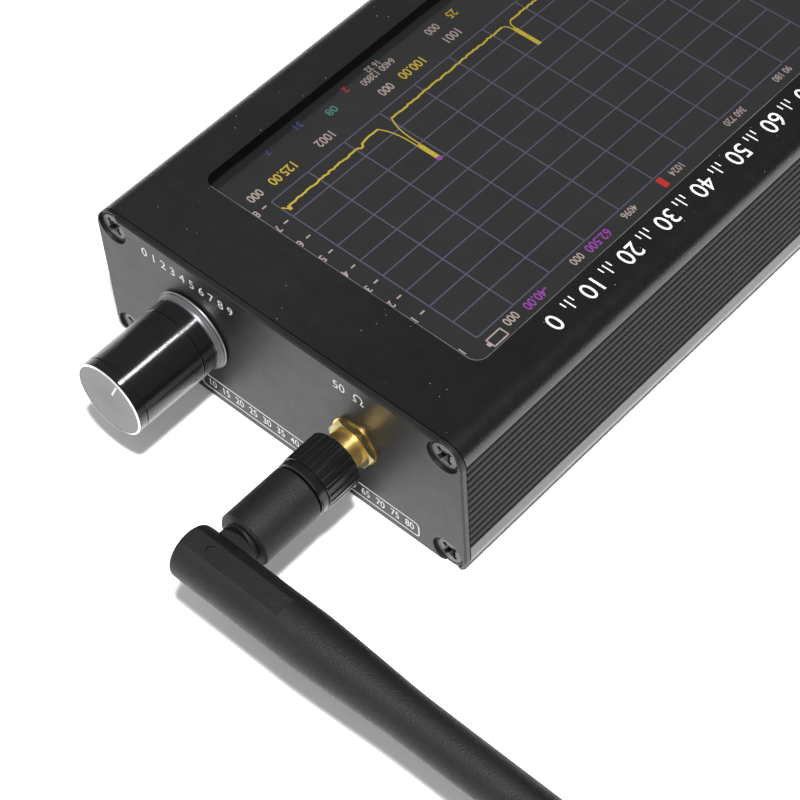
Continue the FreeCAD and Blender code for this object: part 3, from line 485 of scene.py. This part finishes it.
def studio_walls():
    """A studio with a pale wall before the object, towards -Y, and a dim one behind it."""
    world = bpy.data.worlds.new("studio")
    world.use_nodes = True
    coords = add(world, "ShaderNodeTexCoord")
    facing = split(world, coords.outputs["Generated"])["Y"]
    back = world.node_tree.nodes["Background"]
    back.inputs["Color"].default_value = (1, 1, 1, 1)
    world.node_tree.links.new(spread(world, facing, *WALLS), back.inputs["Strength"])
    bpy.context.scene.world = world


def soft_light():
    """A square soft light over the front of the object, aimed at it."""
    toward = Vector(LIGHT_TOWARD)
    data = bpy.data.lights.new("soft_light", "AREA")
    data.shape = "SQUARE"
    data.size = LIGHT_SIZE
    data.energy = LIGHT_POWER
    holder = bpy.data.objects.new("soft_light", data)
    holder.location = toward.normalized() * LIGHT_DISTANCE
    holder.rotation_euler = (-toward).to_track_quat("-Z", "Y").to_euler()
    bpy.context.scene.collection.objects.link(holder)


def camera():
    """The camera, squared up from its eye point, its view direction and its right-hand side."""
    forward = Vector(CAMERA_FORWARD).normalized()
    right = Vector(CAMERA_RIGHT)
    right = (right - forward * right.dot(forward)).normalized()
    turn = Matrix((right, right.cross(forward), -forward)).transposed()
    data = bpy.data.cameras.new("camera")
    data.sensor_width = 36
    data.lens = CAMERA_LENS
    data.clip_start = 0.01
    holder = bpy.data.objects.new("camera", data)
    holder.matrix_world = Matrix.Translation(Vector(CAMERA_EYE)) @ turn.to_4x4()
    bpy.context.scene.collection.objects.link(holder)
    bpy.context.scene.camera = holder


# ---------------------------------------------------------------- screen

GRID_LEFT, GRID_RIGHT, GRID_LOW, GRID_HIGH = -38.7, 42.2, -18.16, 23.26
GRID_COLUMNS, GRID_ROWS = 10, 9
GRID_HALF_LINE = 0.12
TRACE_LEVEL, NEAR_LEVEL = -15.95, -15.6
TRACE_STEP, TRACE_JITTER, TRACE_WIDTH = 0.42, 0.13, 0.36
TRACE_END = GRID_RIGHT - 1.2
LEG_INSET, LEG_WIDTH, LEG_PARTS = 0.7, 0.22, 6
# Each peak: place across, top, half width, spread of its feet, share of its height on open legs.
PEAKS = ((19.1, -4.7, 0.42, 1.25, 0.62), (-9.7, -8.8, 0.4, 0.8, 0.2),
         (-29.5, -10.5, 0.4, 0.8, 0.2))
MARKER_X, MARKER_Y, MARKER_SIDES = 19.1, -4.55, 12
# Heights of the rows of words, then how narrow and how bold their numerals are.
BELOW_GRAPH, BOTTOM_ROW, TOP_ROW = -21.0, -24.4, 24.6
NARROW, WIDE, THIN = 0.8, 0.84, 0.015
BATTERY_SIGN = ((38.6, 24.5, 41.8, 24.75), (38.6, 26.2, 41.8, 26.45), (38.6, 24.5, 38.85, 26.45),
                (41.6, 24.5, 41.85, 26.45), (41.85, 25.1, 42.3, 25.9))


def screen_print(lift):
    """Artwork of the lit display: display-right is -Y and display-up is +X."""
    return Print((0, 0, GLASS_TOP), (0, -1, 0), (1, 0, 0), lift)


def column_x(column):
    return GRID_LEFT + (GRID_RIGHT - GRID_LEFT) * column / GRID_COLUMNS


def row_y(row):
    return GRID_LOW + (GRID_HIGH - GRID_LOW) * row / GRID_ROWS


def screen_grid():
    """Whole lines up the graph, and short bars between them so that no two faces overlap."""
    grid = screen_print(0.01)
    half = GRID_HALF_LINE
    for column in range(GRID_COLUMNS + 1):
        x = column_x(column)
        grid.bar(x - half, GRID_LOW, x + half, GRID_HIGH)
    for row in range(GRID_ROWS + 1):
        y = row_y(row)
        for column in range(GRID_COLUMNS):
            x = column_x(column)
            far = x + (GRID_RIGHT - GRID_LEFT) / GRID_COLUMNS
            grid.bar(x + half, y - half, far - half, y + half)
    grid.finish("screen_grid", GRID, "display_glass")


def spike(art, x, top, half, foot, open_share):
    """A narrow response peak: a filled tip on two thin legs that spread into the trace."""
    waist = TRACE_LEVEL + (top - TRACE_LEVEL) * open_share
    art.bar(x - half, waist, x + half, top)
    for side in (-1, 1):
        legs = [(x + side * half * LEG_INSET, waist + 0.5)]
        for part in range(1, LEG_PARTS + 1):
            share = part / LEG_PARTS
            legs.append((x + side * (half * LEG_INSET + foot * share ** 3),
                         waist + (TRACE_LEVEL - waist) * share))
        art.stroke(legs, LEG_WIDTH)


def trace_level(x):
    """Height of the trace's floor: a little higher, after a small hump, at the display's right."""
    hump = 0.45 * math.exp(-((x - 25.1) / 0.45) ** 2)
    rise = 1 / (1 + math.exp(-(x - 24.2) / 0.5))
    return TRACE_LEVEL + (NEAR_LEVEL - TRACE_LEVEL) * rise + hump


def screen_trace():
    """The noisy trace between the peaks, the peaks, its end at the right and the peak marker."""
    yellow = screen_print(0.03)
    for peak in PEAKS:
        spike(yellow, *peak)
    feet = [x + side * (half * LEG_INSET + foot)
            for x, _, half, foot, _ in reversed(PEAKS) for side in (-1, 1)]
    ends = [GRID_LEFT] + feet + [TRACE_END]
    for first, last in zip(ends[::2], ends[1::2]):
        points, x = [], first
        while x < last:
            calm = min(1.0, 0.3 + min(x - first, last - x) * 0.4)
            level = trace_level(x)
            points.append((x, level + rng.uniform(-TRACE_JITTER, TRACE_JITTER) * calm))
            x += TRACE_STEP
        points.append((last, trace_level(last)))
        yellow.stroke(points, TRACE_WIDTH)
    yellow.stroke([(TRACE_END, NEAR_LEVEL), (41.25, -15.2), (41.35, -14.7)], 0.6)
    yellow.stroke([(41.5, -15.15), (42.1, -16.1)], 0.24)
    yellow.finish("screen_trace", YELLOW, "display_glass")

    marker = screen_print(0.035)
    turns = [math.pi * 2 * n / MARKER_SIDES for n in range(MARKER_SIDES)]
    marker.polygon([(MARKER_X + 0.55 * math.cos(t), MARKER_Y + 0.5 * math.sin(t)) for t in turns])
    marker.finish("screen_marker", PURPLE, "display_glass")


def screen_words():
    """Scale numbers and readouts round the graph, all plain numerals."""
    pink = screen_print(0.03)
    yellow = screen_print(0.031)
    purple, red, blue, green = (screen_print(0.03) for _ in range(4))
    for row in range(10):
        y = row_y(row)
        if row < 8:
            pink.bar(43.25, y - 0.17, 44.15, y + 0.12)
        x = 46.5 if row == 8 else 45.9
        pink.digits(str(abs(80 - 10 * row)), x, y, 2.05, squeeze=0.82, bold=THIN)
    for x, frequency, channel in ((36.7, "125.00", "1002"), (7.2, "100.00", "1001"),
                                  (-33.0, "75.00", "1000")):
        yellow.digits(frequency, x, BELOW_GRAPH, 2.5, squeeze=WIDE, bold=THIN)
        pink.digits("000", x + 6.2, BELOW_GRAPH, 2.3, squeeze=NARROW)
        pink.digits(channel, x - 9.4, BELOW_GRAPH, 2.4, squeeze=NARROW, bold=THIN)
    yellow.digits("25", -5.9, BOTTOM_ROW, 2.3, squeeze=WIDE, bold=THIN)
    for text, x, y, size in (("000", -1.2, BOTTOM_ROW, 2.2), ("6400 12800", 11.4, -24.6, 1.9),
                             ("16 32", 11.0, -26.1, 1.7), ("200 400 800", -19.0, -24.6, 1.9)):
        pink.digits(text, x, y, size, squeeze=NARROW)
    purple.digits("62.500", 16.6, 24.7, 2.3, squeeze=WIDE)
    purple.digits("-40.00", 31.0, 24.9, 2.3, squeeze=WIDE)
    for text, x, size in (("4096", 9.2, 1.9), ("000", 21.4, 2.0), ("000", 36.3, 2.2),
                          ("1024", -2.2, 1.9), ("360 720", -16.5, 1.8), ("90 180", -28.5, 1.8)):
        pink.digits(text, x, TOP_ROW, size, squeeze=NARROW, bold=THIN)
    for corners in BATTERY_SIGN:
        pink.bar(*corners)
    red.bar(0.8, 23.7, 1.9, 25.9)
    red.digits("2", 17.6, -25.8, 1.9)
    blue.digits("31", 28.1, -26.2, 1.9)
    blue.digits("7", 35.2, -25.8, 1.7)
    green.digits("08", 22.3, BOTTOM_ROW, 2.1, bold=THIN)
    for art, name, mat in ((pink, "screen_scale_and_units", PINK),
                           (yellow, "screen_frequencies", YELLOW),
                           (purple, "screen_readings", PURPLE), (red, "screen_red_marks", RED),
                           (blue, "screen_blue_marks", BLUE), (green, "screen_green_marks", GREEN)):
        art.finish(name, mat, "display_glass")


# ---------------------------------------------------------------- print on the case, with painted shade and a painted highlight at the window


def front_print():
    """White print on the front plate: numerals over the knob, an ohm mark, a framed scale."""
    ink = Print((0, PLATE_FACE, 0), (1, 0, 0), (0, 0, 1), INK_LIFT)
    line = 0.24
    numeral_size, first_numeral, numeral_pitch = 2.5, -26.5, 2.02
    ohm_x, ohm_radius, foot_x, foot_z = 17.4, 0.8, 0.72, 25.1
    for number in range(10):
        ink.digits(str(number), first_numeral + number * numeral_pitch, 25.75, numeral_size, bold=0)
    ink.digits("50", 13.6, 25.95, numeral_size, bold=0)
    ink.stroke(arc_points(ohm_x, 26.15, ohm_radius, 300, -120, 14), line)
    for side in (-1, 1):
        foot = ohm_x + side * foot_x
        ink.bar(foot - 0.35, foot_z, foot + 0.35, foot_z + line)
    low, high, left, right, corner = 1.5, 4.65, -17.6, 27.75, 0.7
    outline = (arc_points(right - corner, high - corner, corner, 90, 0)
               + arc_points(right - corner, low + corner, corner, 0, -90)
               + arc_points(left + corner, low + corner, corner, 270, 180)
               + arc_points(left + corner, high - corner, corner, 180, 90))
    ink.stroke(outline + outline[:1], line)
    first_scale, scale_pitch = -15.4, 2.95
    for number in range(15):
        x = first_scale + number * scale_pitch
        ink.digits(str(10 + number * 5), x, 3.08, 2.3, squeeze=0.8, bold=0.005)
    ink.finish("front_print", INK, "index_white")


def bezel_print():
    """A large frequency scale along the wide bezel, read from the far end towards the plate."""
    ink = Print((0, 0, CASE_TOP), (0, -1, 0), (1, 0, 0), INK_LIFT)
    first_numeral, numeral_pitch = 34.2, 8.6
    tick_low, tick_high, half_tick, tick_pitch = 29.45, 30.6, 0.11, 0.9
    for number in range(10):
        x = first_numeral - number * numeral_pitch
        ink.digits(str(number * 10), x, 31.0, 4.5, squeeze=0.9, bold=0)
        for tick in range(3):
            at = x - 3.2 - tick * tick_pitch
            taller = 1.1 if tick == 1 else 0
            ink.bar(at - half_tick, tick_low, at + half_tick, tick_high + taller)
    ink.finish("bezel_scale", INK, "index_white")


def rear_print():
    """Small generic marks either side of the slide switch: it rests at 1 and slides 2 mm to 0."""
    ink = Print((0, high_of("rear_plate").y, 0), (-1, 0, 0), (0, 0, 1), INK_LIFT)
    slider = middle("switch_slider") / MM
    half_travel, clear, size = 1.0, 4.0, 2.0
    slot_middle = -slider.x - half_travel
    ink.digits("0", slot_middle - clear, slider.z, size)
    ink.digits("1", slot_middle + clear, slider.z, size)
    ink.finish("rear_print", INK, "index_white")


def window_liner():
    """Painted shade on the window's walls below the rim: a near-black sheet with a small fillet
    onto the glass, darkening the walls and their reflection in the glass.
    """
    half_x, near, far, corner = 27.84, 46.99, -49.19, 2.0
    outline = (arc_points(near - corner, half_x - corner, corner, 0, 90)
               + arc_points(far + corner, half_x - corner, corner, 90, 180)
               + arc_points(far + corner, corner - half_x, corner, 180, 270)
               + arc_points(near - corner, corner - half_x, corner, 270, 360))
    rim, glass = CASE_TOP / MM, GLASS_TOP / MM
    rows = ((rim - 0.12, 0.0), (glass + 0.25, 0.0), (glass + 0.07, 0.06), (glass + 0.02, 0.2))
    verts = []
    for height, inset in rows:
        pull_x = 1 - inset / (near - corner)
        pull_y = 1 - inset / half_x
        verts.extend(Vector((y * pull_y, -x * pull_x, height)) * MM for x, y in outline)
    count = len(outline)
    faces = []
    for row in range(len(rows) - 1):
        above, below = row * count, (row + 1) * count
        for step in range(count):
            ahead = (step + 1) % count
            faces.append((above + step, above + ahead, below + ahead, below + step))
    mesh_piece("window_liner", verts, faces, WALL_SHADE, "case", True)


def worn_rim():
    """Painted highlight: a thin bright line along the window's near and right edges, where their
    bevel catches the light.
    """
    ink = Print((0, 0, CASE_TOP), (0, -1, 0), (1, 0, 0), INK_LIFT)
    right, high, corner = 47.08, 27.93, 2.08
    bend = arc_points(right - corner, high - corner, corner, 0, 90)
    ink.stroke([(right, -26.0), (right, high - corner)] + bend + [(-47.0, high)], 0.12)
    ink.finish("window_rim_highlight", RIM_HIGHLIGHT, "case_black")


# ---------------------------------------------------------------- build

screen_grid()
screen_trace()
screen_words()
front_print()
bezel_print()
rear_print()
window_liner()
worn_rim()
stage()
camera()
bpy.context.scene.view_settings.view_transform = "Standard"
